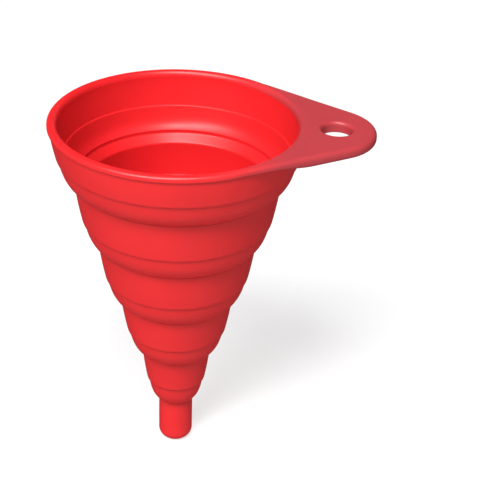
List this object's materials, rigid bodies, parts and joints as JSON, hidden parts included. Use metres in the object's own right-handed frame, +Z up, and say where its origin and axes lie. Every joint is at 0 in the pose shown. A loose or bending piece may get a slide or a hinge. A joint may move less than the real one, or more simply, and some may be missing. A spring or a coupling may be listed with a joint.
{
  "type": "funnel",
  "caption": "Collapsible silicone funnel whose stages slide up into one another, with a narrow spout and a hanging tab at the rim.",
  "frame": {"origin": "on the funnel's axis, at the spout's tip", "axes": "+Z up along the axis to the mouth, +X towards the hanging tab"},
  "size_m": [0.1005, 0.08, 0.122],
  "materials": {
    "silicone": "satin"
  },
  "bodies": {
    "mouth": {"rim_ring": "silicone", "hang_tab": "silicone", "band_1": "silicone", "web_1": "silicone"},
    "stage_2": {"band_2": "silicone", "web_2": "silicone"},
    "stage_3": {"band_3": "silicone", "web_3": "silicone"},
    "stage_4": {"band_4": "silicone", "web_4": "silicone"},
    "stage_5": {"band_5": "silicone", "web_5": "silicone"},
    "spout": {"spout": "silicone"}
  },
  "joints": [
    {"name": "stage_2_fold", "type": "slide", "parent": "mouth", "child": "stage_2", "axis": [0, 0, 1], "range_m": [0, 0.0193], "deforming": ["web_1"]},
    {"name": "stage_3_fold", "type": "slide", "parent": "stage_2", "child": "stage_3", "axis": [0, 0, 1], "range_m": [0, 0.0193], "deforming": ["web_2"]},
    {"name": "stage_4_fold", "type": "slide", "parent": "stage_3", "child": "stage_4", "axis": [0, 0, 1], "range_m": [0, 0.0193], "deforming": ["web_3"]},
    {"name": "stage_5_fold", "type": "slide", "parent": "stage_4", "child": "stage_5", "axis": [0, 0, 1], "range_m": [0, 0.0193], "deforming": ["web_4"]},
    {"name": "spout_fold", "type": "slide", "parent": "stage_5", "child": "spout", "axis": [0, 0, 1], "range_m": [0, 0.0178], "deforming": ["web_5"]}
  ]
}
